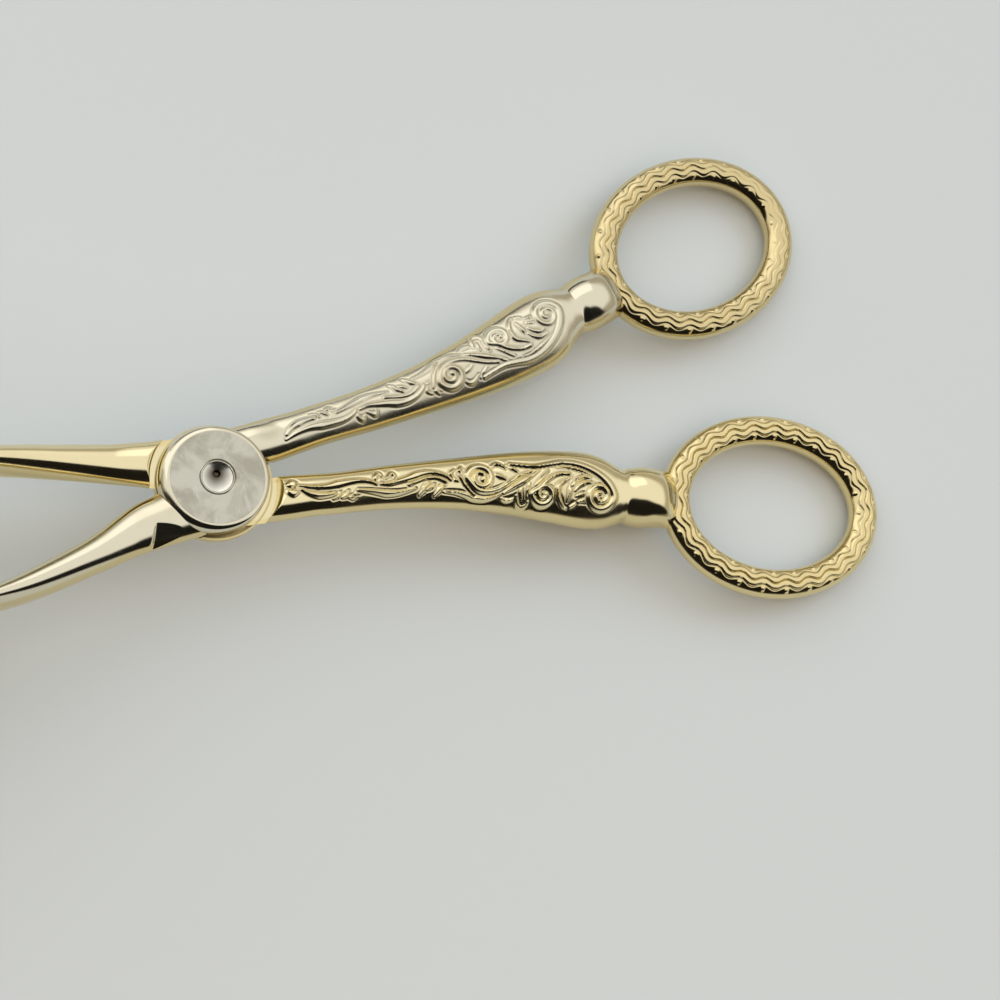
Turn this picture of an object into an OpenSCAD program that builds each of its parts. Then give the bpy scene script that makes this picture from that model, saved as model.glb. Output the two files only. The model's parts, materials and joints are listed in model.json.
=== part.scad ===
// Scissor-type serving tongs, in millimetres. Two equal cast arms with finger rings lap
// at a riveted pivot, and each carries a pressed, pierced jaw on two small rivets.
// The tongs lie on z = 0 with the pivot over the origin and the finger rings towards +X.
// The upper arm is the one whose lap lies on top: its handle is on the +Y side.

/* [Handles] */
// Distance from the pivot to the centre of a finger ring
handle_reach = 88; // [73:1:106]
// Thickness of the handle from face to face where it leaves the boss
handle_t = 5; // [4.2:0.1:6]
// Width of the handle at its waist, near the pivot
waist_w = 6.4; // [5.3:0.1:7.3]
// Width of the handle at its widest, near the bead
grip_w = 11.8; // [9.8:0.1:14]
// Thickness of the handle at its widest
grip_t = 8.8; // [7.4:0.1:10.5]
// Diameter of the bead between the handle and the ring
bead_d = 9.2; // [7.9:0.1:11]
// Length of the bead along the arm
bead_l = 8.6; // [7.2:0.1:10.3]

/* [Finger rings] */
// Length of the finger opening along the arm
finger_l = 27.8; // [23.2:0.1:33.3]
// Width of the finger opening
finger_w = 20.7; // [17.3:0.1:22.5]
// Diameter of the bar of the ring
ring_bar = 4.4; // [3.7:0.1:5.3]

/* [Pivot] */
// Angle between the two arms as they lie
rest_spread = 28.8; // [24:0.1:40]
// Gap between the two finger rings when the jaws meet
ring_room = 2.6; // [2.1:0.1:3.2]
// Diameter of the boss on each lap
boss_d = 15.5; // [13:0.1:18.6]
// Height of the boss's face above the middle of the lap
boss_h = 3; // [2.5:0.1:3.6]
// Radius of the boss's rounded rim
boss_round = 1.1; // [0.6:0.1:1.3]
// Radial room between a boss and the other arm's shoulder
shoulder_gap = 1.7; // [1.4:0.1:2]
// Diameter of the pivot rivet's shank
rivet_d = 4.4; // [3.7:0.1:5.3]
// How far the rivet's spread ends stand out past its shank
rivet_flare = 0.35; // [0.3:0.05:0.45]
// Height of each spread end
rivet_end_h = 0.8; // [0.7:0.1:1]
// Width of the rim round the conical dimple in the rivet's upper end
dimple_rim = 0.35; // [0.3:0.05:0.45]
// Depth of the dimple
dimple_h = 1.1; // [0.9:0.1:1.3]
// Radial clearance of the rivet where the lower arm turns on it
rivet_clearance = 0.05; // [0.02:0.01:0.1]
// Diameter of the washer between the laps
washer_d = 10.5; // [8.8:0.1:12.6]
// Thickness of the washer
washer_t = 0.3; // [0.2:0.05:0.4]
// Play between the washer and each lap
washer_play = 0.03; // [0.02:0.01:0.05]

/* [Jaws] */
// Distance from the pivot to the front edge of a jaw
jaw_reach = 104; // [87:1:125]
// Width of a jaw
jaw_w = 44; // [36.7:0.1:52.8]
// Thickness of a jaw's plate
jaw_t = 1.6; // [1.3:0.1:2]
// Gap left between the front edges when the jaws meet
grip_gap = 0.3; // [0.2:0.05:0.5]
// Width of a pierced slot
slot_w = 3; // [2.5:0.1:3.6]
// Width of the web between the slots' inner ends
slot_web = 1.9; // [1.6:0.1:2.3]
// Distance from the tang to the slots' inner ends
slot_root = 16; // [13:0.5:19]
// Distance from the middle slot's outer end to the front edge
slot_front = 12; // [10:0.5:14.5]
// Distance from the outermost slots' ends to the side edges
slot_edge = 4.9; // [4:0.1:5.9]

/* [Shanks and tangs] */
// Width of the shank where it leaves the boss
shank_w = 6; // [5:0.1:7.2]
// Thickness of the shank
shank_t = 5; // [4.2:0.1:6]
// Sideways offset of the shank from the arm's line
shank_offset = 1.95; // [1.6:0.05:2.35]
// How far the shank runs straight past the boss
shank_straight = 5; // [4:0.1:6]
// Length of the neck where the shank flattens into the tang
shank_neck = 11; // [9:0.1:13.2]
// Distance from the pivot to the start of the tang
tang_reach = 40; // [33:0.5:48]
// Length of the tang that the jaw is riveted to
tang_l = 14; // [11.6:0.1:16.8]
// Width of the tang across the plane of the arms
tang_w = 13; // [11:0.1:15.6]
// Thickness of the tang
tang_t = 2.6; // [2.2:0.1:3.1]
// Distance of the tang from the middle when the jaws meet
tang_offset = 8; // [6.6:0.1:9.6]
// Diameter of a jaw rivet
jaw_rivet_d = 3; // [2.5:0.1:3.6]
// Diameter of a jaw rivet's domed head
jaw_head_d = 5.4; // [4.5:0.1:6.5]
// Gap between the heads of a jaw's two rivets
head_gap = 0.9; // [0.7:0.05:1.1]
// Height of a jaw rivet's domed head
jaw_head_h = 1.4; // [1.2:0.1:1.7]

/* [Hidden] */
$fn = 64;

gold = [0.83, 0.71, 0.42];
pale_gold = [0.86, 0.78, 0.56];
nickel = [0.74, 0.73, 0.67];
brass = [0.78, 0.63, 0.33];

// Reach of a cutter past the faces that it opens
cut = 20;
// Half of the gap between the two laps, which holds the washer
lap_half = washer_t / 2 + washer_play;
shoulder_r = boss_d / 2 + shoulder_gap;
rivet_end_d = rivet_d + 2 * rivet_flare;
dimple_d = rivet_end_d - 2 * dimple_rim;

// Finger ring: half axes of the oval that the middle of its bar follows
oval_a = (finger_l + ring_bar) / 2;
oval_b = (finger_w + ring_bar) / 2;

// Bead and neck, reckoned back from the ring
bead_sink = 0.8;
bead_stretch = 2;
neck_sink = 0.4;
bead_offset = 0.4;
bead_x = handle_reach - oval_a - ring_bar / 2 - bead_l / 2 + bead_sink;
neck_x = bead_x - bead_l / 2 + neck_sink;
function bead_r(along) = sqrt(pow(bead_d / 2, 2) - pow(along / bead_stretch, 2));
neck_w = 2 * bead_r(bead_l / 2);

// Stations of the handle: share of the way from shoulder to neck, sideways offset, width, thickness
function swollen(share) = waist_w + share * (grip_w - waist_w);
function domed(share) = handle_t + share * (grip_t - handle_t);
handle_stations = [
    [-0.147, 3.9, 1.14 * waist_w, handle_t],
    [0, 2.3, 1.11 * waist_w, handle_t],
    [0.084, 1.4, 1.01 * waist_w, handle_t],
    [0.167, 0.8, waist_w, handle_t],
    [0.317, -0.35, swollen(0.09), domed(0.05)],
    [0.489, -1.25, swollen(0.28), domed(0.22)],
    [0.646, -1.65, swollen(0.57), domed(0.54)],
    [0.767, -1.55, swollen(0.85), domed(0.84)],
    [0.873, -1.2, grip_w, grip_t],
    [0.93, -0.9, swollen(0.89), domed(0.98)],
    [0.968, -0.65, swollen(0.61), domed(0.93)],
    [1, -bead_offset, neck_w, neck_w]
];

// Angles of a jaw: half of the spread at rest, when the jaws meet, and the opening at rest
half_spread = rest_spread / 2;
closed_half = asin((oval_b + ring_bar / 2 + ring_room / 2) / handle_reach);
rest_opening = half_spread - closed_half;

// Jaw plate: a flat root on the tang, then a bend that brings the front edge to the middle
root_d = tang_offset - tang_t / 2 - jaw_t;
bend_s = tang_reach + tang_l;
bend_l = jaw_reach - bend_s;
bend_drop = root_d - grip_gap / 2;
bend_r = (bend_l * bend_l + bend_drop * bend_drop) / (2 * bend_drop);
bend_steps = 24;
root_margin = 0.5;
root_start = tang_reach + 1.2;
root_w = tang_w + 2 * root_margin;

// Places of a jaw's two rivets along the tang
rivet_half = (jaw_head_d + head_gap) / 2;
rivet_s = [for (side = [-1, 1]) tang_reach + tang_l / 2 + side * rivet_half];

// Outline of a jaw: share of the way from the bend to the front edge, half of the width there
root_swell = 1.8;
jaw_stations = [
    [-tang_l / bend_l, root_w / 2],
    [-tang_l / bend_l / 2, root_w / 2],
    [0, root_w / 2],
    [0.1, root_w / 2 + root_swell],
    [0.27, 0.38 * jaw_w],
    [0.42, 0.48 * jaw_w],
    [0.56, 0.5 * jaw_w],
    [0.75, 0.46 * jaw_w],
    [0.9, 0.345 * jaw_w],
    [0.98, 0.18 * jaw_w],
    [1, 0]
];

// Slots: a fan of five, with the outer ones shorter
slot_row = 2;
slot_l = bend_l - slot_root - slot_front;
slot_shrink = 0.11;
inner_pitch = slot_w + slot_web;
outer_pitch = (jaw_w / 2 - slot_edge) / slot_row;

// Sections of the cast bars: points round them, and how square the ring's, handle's and shank's are
section_points = 18;
round_power = 2;
handle_power = 2.1;
shank_power = 2.6;
spline_steps = 3;
ring_steps = 44;

function squared(c, power) = sign(c) * pow(abs(c), 2 / power);

function section(w, t, power) = [
    for (i = [0 : section_points - 1])
        let (a = 360 * i / section_points)
        [w / 2 * squared(cos(a), power), t / 2 * squared(sin(a), power)]
];

// Triangles of a skin over rows of section points, where next gives the row after a row
function skin(rows, next) = [
    for (i = rows, j = [0 : section_points - 1], k = [0, 1])
        let (n = section_points, a = i * n, b = next[i] * n, q = (j + 1) % n)
        k == 0 ? [a + j, b + j, b + q] : [a + j, b + q, a + q]
];

// Smooth run through a list of stations
function blend(a, b, c, d, t) =
    (2 * b + (c - a) * t + (2 * a - 5 * b + 4 * c - d) * t ^ 2 + (3 * b - a - 3 * c + d) * t ^ 3) / 2;

function smooth_run(p) = [
    for (i = [0 : len(p) - 2], j = [0 : spline_steps - 1])
        blend(p[max(i - 1, 0)], p[i], p[i + 1], p[min(i + 2, len(p) - 1)], j / spline_steps),
    p[len(p) - 1]
];

// Edge of a jaw from its root to its tip: place along the jaw, half of the width
jaw_edge = [for (p = smooth_run(jaw_stations)) [bend_s + p[0] * bend_l, p[1]]];

// How the tongs lie: the ends of the rings and the lower edges of the jaws touch the table.
// Depth below the pivot of each, for a tilt of the arms' plane, and the tilt that evens them.
ring_end_x = handle_reach * cos(half_spread) + norm([oval_a * cos(half_spread), oval_b * sin(half_spread)]);
function ring_depth(tilt) = ring_end_x * sin(tilt) + ring_bar / 2;
function jaw_depth(tilt) = max([for (p = jaw_edge) p[1] * cos(tilt) - p[0] * cos(rest_opening) * sin(tilt)]);
function even_tilt(low, high, tries) =
    let (mid = (low + high) / 2)
    tries == 0 ? mid
    : jaw_depth(mid) > ring_depth(mid) ? even_tilt(mid, high, tries - 1)
    : even_tilt(low, mid, tries - 1);
lie_tilt = even_tilt(0, 20, 20);
pivot_z = ring_depth(lie_tilt);

// Point of the arm's jaw side in the jaw's own axes: along the closed middle line, and out from it
function jaw_point(along, out) = [
    along * cos(closed_half) - out * sin(closed_half),
    along * sin(closed_half) + out * cos(closed_half)
];

// Solid through rounded sections at stations of place, sideways offset, width and thickness
module cast_bar(stations, power) {
    run = smooth_run(stations);
    last = len(run) - 1;
    n = section_points;
    points = [for (s = run, q = section(s[2], s[3], power)) [s[0], s[1] + q[0], q[1]]];
    sides = skin([0 : last - 1], [for (i = [1 : last]) i]);
    ends = [[for (j = [0 : n - 1]) j], [for (j = [n - 1 : -1 : 0]) last * n + j]];
    polyhedron(points, concat(sides, ends));
}

module lay_down() {
    translate([0, 0, pivot_z]) rotate([0, lie_tilt, 0]) children();
}

module upper_place() {
    lay_down() rotate([0, 0, half_spread]) children();
}

module lower_place() {
    lay_down() rotate([180, 0, 0]) rotate([0, 0, half_spread]) children();
}

// Axes of the jaw: X along the closed middle line to the front edge, Y out from it
module jaw_axes() {
    rotate([0, 0, 180 - closed_half]) children();
}

// Round bar along an oval: its sections stand square to the oval
module finger_ring() {
    points = [
        for (i = [0 : ring_steps - 1])
            let (a = 360 * i / ring_steps, slope = [cos(a) / oval_a, sin(a) / oval_b])
            let (out = slope / norm(slope))
            for (q = section(ring_bar, ring_bar, round_power))
                [oval_a * cos(a) - q[0] * out[0], oval_b * sin(a) - q[0] * out[1], q[1]]
    ];
    polyhedron(points, skin([0 : ring_steps - 1], [for (i = [1 : ring_steps]) i % ring_steps]));
}

// A barrel along the arm, flat at both ends
module bead() {
    steps = 12;
    side = [for (i = [0 : steps]) let (along = bead_l * (i / steps - 0.5)) [bead_r(along), along]];
    rotate([0, 90, 0]) rotate_extrude() polygon(concat([[0, -bead_l / 2]], side, [[0, bead_l / 2]]));
}

module handle() {
    span = neck_x - shoulder_r;
    cast_bar([for (s = handle_stations) [shoulder_r + s[0] * span, s[1], s[2], s[3]]], handle_power);
}

// The shank starts inside the boss and ends inside the tang, a little smaller than each
module shank() {
    sunk = 2;
    skin_gap = 0.15;
    neck_rise = 0.9;
    inside = jaw_point(boss_d / 4, shank_offset);
    outside = jaw_point(boss_d / 2 + shank_straight, shank_offset);
    neck_t = (shank_w + tang_t) / 2;
    neck_h = (2 * shank_t + tang_w) / 3;
    jaw_axes() cast_bar([
        [inside[0], inside[1], shank_w, shank_t],
        [outside[0], outside[1], shank_w, shank_t],
        [tang_reach - shank_neck, tang_offset - neck_rise, neck_t, neck_h],
        [tang_reach + sunk, tang_offset, tang_t - 2 * skin_gap, tang_w - 6 * skin_gap]
    ], shank_power);
}

module tang() {
    jaw_axes() translate([0, tang_offset, 0]) rotate([90, 0, 0])
        linear_extrude(tang_t, center = true) {
            translate([tang_reach, -tang_w / 2]) square([tang_l - tang_w / 2, tang_w]);
            translate([tang_reach + tang_l - tang_w / 2, 0]) circle(d = tang_w);
        }
}

module boss() {
    rotate_extrude() {
        translate([0, lap_half]) square([boss_d / 2, boss_h - boss_round - lap_half]);
        translate([0, lap_half]) square([boss_d / 2 - boss_round, boss_h - lap_half]);
        translate([boss_d / 2 - boss_round, boss_h - boss_round]) circle(boss_round);
    }
}

module rivet_cutters() {
    for (s = rivet_s) translate([s, 0, 0]) rotate([-90, 0, 0]) cylinder(d = jaw_rivet_d, h = cut);
}

// One casting: the bore and the recess differ between the fixed and the turning end of the rivet
module arm(bore_d, recess_d, recess_h) {
    difference() {
        union() {
            difference() {
                union() {
                    handle();
                    translate([bead_x, -bead_offset, 0]) bead();
                    translate([handle_reach, 0, 0]) finger_ring();
                    shank();
                    tang();
                }
                translate([0, 0, lap_half - cut]) cylinder(r = shoulder_r, h = cut);
            }
            boss();
        }
        translate([0, 0, -cut]) cylinder(d = bore_d, h = 2 * cut);
        translate([0, 0, boss_h - recess_h]) cylinder(d = recess_d, h = cut);
        jaw_axes() rivet_cutters();
    }
}

module slot(l) {
    translate([0, -slot_w / 2]) square([l, slot_w]);
    for (x = [0, l]) translate([x, 0]) circle(d = slot_w);
}

// Side view of a jaw's plate: flat on the tang, then bent in towards the middle
module jaw_profile() {
    turn = asin(bend_l / bend_r);
    function bent(r) = [
        for (i = [0 : bend_steps])
            let (a = turn * i / bend_steps)
            [bend_s + r * sin(a), root_d - bend_r + r * cos(a)]
    ];
    function back(list) = [for (i = [len(list) - 1 : -1 : 0]) list[i]];
    root_inner = [root_start, root_d];
    root_outer = [root_start, root_d + jaw_t];
    polygon(concat([root_inner], bent(bend_r), back(bent(bend_r + jaw_t)), [root_outer]));
}

module jaw_outline() {
    last = len(jaw_edge) - 1;
    polygon(concat(jaw_edge, [for (i = [last - 1 : -1 : 0]) [jaw_edge[i][0], -jaw_edge[i][1]]]));
}

module jaw_slots() {
    for (i = [-slot_row : slot_row]) {
        run = [slot_l * (1 - slot_shrink * i * i), i * (outer_pitch - inner_pitch)];
        translate([bend_s + slot_root, i * inner_pitch]) rotate(atan2(run[1], run[0])) slot(norm(run));
    }
}

// Cutter or blank through the plate: an outline drawn from the front, made thick
module through_plate() {
    translate([0, cut, 0]) rotate([90, 0, 0]) linear_extrude(2 * cut) children();
}

module jaw() {
    jaw_axes() difference() {
        intersection() {
            linear_extrude(2 * jaw_w, center = true) jaw_profile();
            through_plate() jaw_outline();
        }
        through_plate() jaw_slots();
        rivet_cutters();
    }
}

module jaw_rivets() {
    head_r = jaw_head_d / 2;
    dome_r = (head_r * head_r + jaw_head_h * jaw_head_h) / (2 * jaw_head_h);
    grip_l = jaw_t + tang_t;
    jaw_axes() for (s = rivet_s) translate([s, root_d, 0]) rotate([-90, 0, 0]) {
        cylinder(d = jaw_rivet_d, h = grip_l);
        translate([0, 0, grip_l]) intersection() {
            translate([0, 0, jaw_head_h - dome_r]) sphere(dome_r);
            cylinder(d = 2 * jaw_head_d, h = jaw_head_h);
        }
    }
}

module lower_arm() {
    room = 2 * rivet_clearance;
    color(gold) lower_place() arm(rivet_d + room, rivet_end_d + room, rivet_end_h + rivet_clearance);
}

module upper_arm() {
    color(pale_gold) upper_place() arm(rivet_d, rivet_end_d, rivet_end_h);
}

module pivot_rivet() {
    color(nickel) lay_down() difference() {
        union() {
            translate([0, 0, -boss_h]) cylinder(d = rivet_d, h = 2 * boss_h);
            translate([0, 0, -boss_h]) cylinder(d = rivet_end_d, h = rivet_end_h);
            translate([0, 0, boss_h - rivet_end_h]) cylinder(d = rivet_end_d, h = rivet_end_h);
        }
        translate([0, 0, boss_h - dimple_h]) cylinder(d1 = 0, d2 = dimple_d, h = dimple_h);
    }
}

module pivot_washer() {
    color(brass) lay_down() translate([0, 0, -washer_t / 2]) difference() {
        cylinder(d = washer_d, h = washer_t);
        translate([0, 0, -cut / 2]) cylinder(d = rivet_d + 2 * rivet_clearance, h = cut);
    }
}

module lower_jaw() {
    color(gold) lower_place() jaw();
}

module upper_jaw() {
    color(pale_gold) upper_place() jaw();
}

module lower_jaw_rivets() {
    color(brass) lower_place() jaw_rivets();
}

module upper_jaw_rivets() {
    color(brass) upper_place() jaw_rivets();
}

lower_arm();
upper_arm();
pivot_rivet();
pivot_washer();
lower_jaw();
upper_jaw();
lower_jaw_rivets();
upper_jaw_rivets();
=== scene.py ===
import json
import math

import bmesh
import bpy
import numpy as np
from mathutils import Matrix, Vector


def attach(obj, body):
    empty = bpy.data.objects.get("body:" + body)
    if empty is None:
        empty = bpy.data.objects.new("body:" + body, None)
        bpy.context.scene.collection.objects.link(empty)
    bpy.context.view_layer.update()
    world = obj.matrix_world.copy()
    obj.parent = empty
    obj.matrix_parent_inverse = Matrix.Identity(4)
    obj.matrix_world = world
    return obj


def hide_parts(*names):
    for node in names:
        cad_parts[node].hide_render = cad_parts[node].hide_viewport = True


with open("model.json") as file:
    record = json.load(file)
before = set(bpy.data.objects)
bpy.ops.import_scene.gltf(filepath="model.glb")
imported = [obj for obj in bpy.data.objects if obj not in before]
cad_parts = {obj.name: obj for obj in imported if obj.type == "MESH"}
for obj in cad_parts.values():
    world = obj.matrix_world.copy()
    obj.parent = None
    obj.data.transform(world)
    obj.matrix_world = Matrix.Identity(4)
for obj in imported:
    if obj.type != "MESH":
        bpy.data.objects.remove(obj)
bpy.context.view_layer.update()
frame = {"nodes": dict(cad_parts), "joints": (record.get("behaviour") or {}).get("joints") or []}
mm = 0.001
sides = ("upper", "lower")
print("frame loaded:", len(frame["nodes"]), "nodes")


# Places: a casting is modelled in mm with the pivot at its origin, X along its handle,
# Y outwards and Z towards its ground face. The lower casting is the same one turned over.
spread = {"rest": 28.8, "jawsMeet": 21.02}  # degrees between the handles

hinge = frame["joints"][0]
upAxis = Vector(hinge["axis"]).normalized()
alongAxis = Vector((upAxis.z, 0, -upAxis.x))
layDown = Matrix((alongAxis, upAxis.cross(alongAxis), upAxis)).transposed().to_4x4()
layDown = Matrix.Translation(hinge["pos_m"]) @ layDown
outwards = Matrix.Rotation(math.radians(spread["rest"] / 2), 4, "Z") @ Matrix.Scale(mm, 4)
armPlace = {
    "upper": layDown @ outwards,
    "lower": layDown @ Matrix.Rotation(math.pi, 4, "X") @ outwards,
}
jawTurn = Matrix.Rotation(math.radians(180 - spread["jawsMeet"] / 2), 4, "Z")


# Camera at the photograph's viewing angle
cameraView = {
    "target": (0.04365, -0.00994, 0.0),
    "heading": -55.46,  # degrees round the vertical, from looking along +Y
    "elevation": 72.36,
    "roll": 40.64,
    "distance": 0.3334,
    "fieldOfView": 26.05,
    "sensor": 36.0,
    "clipStart": 0.01,
}


def makeCamera():
    c = cameraView
    data = bpy.data.cameras.new("camera")
    data.sensor_width = c["sensor"]
    data.lens = c["sensor"] / 2 / math.tan(math.radians(c["fieldOfView"] / 2))
    data.clip_start = c["clipStart"]
    camera = bpy.data.objects.new("camera", data)
    bpy.context.scene.collection.objects.link(camera)
    turn = Matrix.Rotation(math.radians(c["heading"]), 4, "Z")
    tip = Matrix.Rotation(math.radians(90 - c["elevation"]), 4, "X")
    roll = Matrix.Rotation(math.radians(c["roll"]), 4, "Z")
    back = Matrix.Translation((0, 0, c["distance"]))
    camera.matrix_world = Matrix.Translation(c["target"]) @ turn @ tip @ back @ roll
    bpy.context.scene.camera = camera


makeCamera()
print("camera set")


# Curves, grids and finished pieces
def smoothLine(points, steps):
    p = np.array(points, float)
    p = np.vstack([2 * p[0] - p[1], p, 2 * p[-1] - p[-2]])
    t = np.linspace(0, 1, steps, endpoint=False)[:, None]
    spans = []
    for a, b, c, d in zip(p, p[1:], p[2:], p[3:]):
        bend = (2 * a - 5 * b + 4 * c - d) * t**2 + (3 * b - a - 3 * c + d) * t**3
        spans.append(b + 0.5 * ((c - a) * t + bend))
    return np.vstack([*spans, p[-2:-1]])


def ease(low, high, x):
    t = np.clip((x - low) / (high - low), 0, 1)
    return t * t * (3 - 2 * t)


def wrapGrid(points, **marks):
    rows, cols = points.shape[:2]
    bm = bmesh.new()
    bmesh.ops.create_grid(bm, x_segments=cols - 1, y_segments=rows - 1, size=1)
    layers = {name: bm.verts.layers.float.new(name) for name in marks}
    for vert, co in zip(bm.verts, points.reshape(-1, 3)):
        vert.co = co
    for name, values in marks.items():
        for vert, value in zip(bm.verts, values.ravel()):
            vert[layers[name]] = value
    return bm


def spinProfile(points, steps, axis):
    bm = bmesh.new()
    verts = [bm.verts.new(p) for p in points]
    edges = [bm.edges.new(pair) for pair in zip(verts, verts[1:])]
    bmesh.ops.spin(bm, geom=verts + edges, cent=(0, 0, 0), axis=axis, angle=2 * math.pi,
                   steps=steps, use_merge=True)
    return bm


def turnUpright(points, steps):
    return spinProfile([(r, 0, z) for r, z in points], steps, (0, 0, 1))


def thicken(bm, faces, thick, keep):
    grown = bmesh.ops.extrude_face_region(bm, geom=faces, use_keep_orig=keep)["geom"]
    moved = [v for v in grown if isinstance(v, bmesh.types.BMVert)]
    bmesh.ops.translate(bm, verts=moved, vec=(0, thick, 0))


def roundEdges(bm, edges, size, segments):
    bmesh.ops.bevel(bm, geom=edges, offset=size, affect="EDGES", segments=segments, profile=0.5, material=-1)


def markAll(bm, name, value):
    layer = bm.verts.layers.float.new(name)
    for vert in bm.verts:
        vert[layer] = value
    return bm


def arcPoints(centre, radius, start, end, steps):
    angles = [math.radians(start + (end - start) * i / steps) for i in range(steps + 1)]
    return [(centre[0] + radius * math.cos(a), centre[1] + radius * math.sin(a)) for a in angles]


pieceFinish = {"merge": 0.0005, "sharpAngle": 38, "sharpAngleFlat": 30}  # mm and degrees


def makePiece(bm, name, body, node, material, place, sharpAngle=pieceFinish["sharpAngle"]):
    bmesh.ops.remove_doubles(bm, verts=bm.verts, dist=pieceFinish["merge"])
    bmesh.ops.dissolve_degenerate(bm, edges=bm.edges, dist=pieceFinish["merge"])
    bmesh.ops.transform(bm, matrix=place, verts=bm.verts)
    bmesh.ops.recalc_face_normals(bm, faces=bm.faces)
    for face in bm.faces:
        face.smooth = True
    mesh = bpy.data.meshes.new(name)
    bm.to_mesh(mesh)
    bm.free()
    mesh.set_sharp_from_angle(angle=math.radians(sharpAngle))
    piece = bpy.data.objects.new(name, mesh)
    bpy.context.scene.collection.objects.link(piece)
    mesh.materials.append(material)
    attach(piece, body)
    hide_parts(node)


# Shader maths: a socket that takes part in sums
class Sock:
    def __init__(self, tree, link):
        self.tree = tree
        self.link = link

    def node(self, kind, settings, inputs, out=0):
        made = self.tree.nodes.new(kind)
        for name, value in settings.items():
            setattr(made, name, value)
        for name, value in inputs.items():
            if isinstance(value, Sock):
                self.tree.links.new(value.link, made.inputs[name])
            else:
                made.inputs[name].default_value = value
        return Sock(self.tree, made.outputs[out])

    def math(self, operation, first, second):
        return self.node("ShaderNodeMath", {"operation": operation}, {0: first, 1: second})

    def __add__(self, other):
        return self.math("ADD", self, other)

    def __sub__(self, other):
        return self.math("SUBTRACT", self, other)

    def __rsub__(self, other):
        return self.math("SUBTRACT", other, self)

    def __mul__(self, other):
        return self.math("MULTIPLY", self, other)

    __radd__ = __add__
    __rmul__ = __mul__

    def fit(self, low, high):
        return self.node("ShaderNodeMapRange", {"interpolation_type": "SMOOTHSTEP"},
                         {"Value": self, "From Min": low, "From Max": high})

    def mixColor(self, first, second):
        return self.node("ShaderNodeMix", {"data_type": "RGBA"}, {0: self, 6: first, 7: second}, 2)


def newMaterial(name):
    material = bpy.data.materials.new(name)
    material.use_nodes = True
    tree = material.node_tree
    shader = tree.nodes["Principled BSDF"]
    place = Sock(tree, tree.nodes.new("ShaderNodeTexCoord").outputs["Object"])
    return material, shader, place


def feed(shader, name, value):
    if isinstance(value, Sock):
        value.tree.links.new(value.link, shader.inputs[name])
    else:
        shader.inputs[name].default_value = value


def stretched(place, scale, turn=(0, 0, 0)):
    return place.node("ShaderNodeMapping", {}, {0: place, "Scale": scale, "Rotation": turn})


def noise(place, scale, detail, rough, distortion=0.0):
    inputs = {0: place, "Scale": scale, "Detail": detail, "Roughness": rough, "Distortion": distortion}
    return place.node("ShaderNodeTexNoise", {}, inputs)


def mark(place, name):
    return place.node("ShaderNodeAttribute", {"attribute_name": name}, {}, 2)


def feedMetal(shader, color, rough, height, bump):
    feed(shader, "Base Color", color)
    feed(shader, "Metallic", 1.0)
    feed(shader, "Roughness", rough)
    feed(shader, "Normal", height.node("ShaderNodeBump", {}, {**bump, "Height": height}))


# Plated castings: gold all over, worn pale on the flats of the upper one. On both, the sides are painted a
# deeper, darker gold than the flats as painted shade. The hollows are darkened with painted shade, partly
# dark patina, and made rougher.
goldPlate = {
    "lower": {
        # gold is on the sides, painted darker than the flats as shade; flat is on the top and the underside
        "gold": (0.82, 0.69, 0.37, 1),
        "flat": (0.87, 0.775, 0.49, 1),
        # hollow: painted shade in the grooves, on the boss ledge and on the swell behind the boss, partly
        # dark patina in the grooves
        "hollow": (0.30, 0.23, 0.11, 1),
        "rough": 0.12,
        "satin": 0.03,
    },
    "upper": {
        "gold": (0.74, 0.62, 0.34, 1),
        "flat": (0.77, 0.725, 0.57, 1),
        "hollow": (0.32, 0.27, 0.17, 1),
        "rough": 0.13,
        "satin": 0.12,
    },
    "tarnish": (0.66, 0.53, 0.27, 1),
    "tarnishShare": 0.25,
    "tarnishFrom": (0.52, 0.75),
    "cloud": {"scale": 90, "detail": 3, "rough": 0.6},
    "grain": {"scale": 900, "detail": 4, "rough": 0.6},
    "wave": {"scale": 260, "detail": 1, "rough": 0.4},
    "scratch": {"scale": 1, "detail": 2, "rough": 0.5},
    "scratchStretch": (60, 1400, 1400),
    "scratchFrom": (0.60, 0.72),
    "wearAndShadeRagged": 0.35,  # how ragged the edge is between the pale flats and the sides painted darker as shade
    "wearAndShadeMixFrom": (0.25, 0.85),
    "hollowGrain": 0.25,
    "roughCloud": 0.10,
    "roughCloudFrom": (0.35, 0.75),
    "roughLines": 0.06,
    "roughHollow": 0.22,
    "roughGrain": 0.05,
    "waveHeight": 0.8,
    "grainHeight": 0.05,
    "lineDepth": 0.03,
    "bump": {"Strength": 0.35, "Distance": 0.00008},
}


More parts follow.
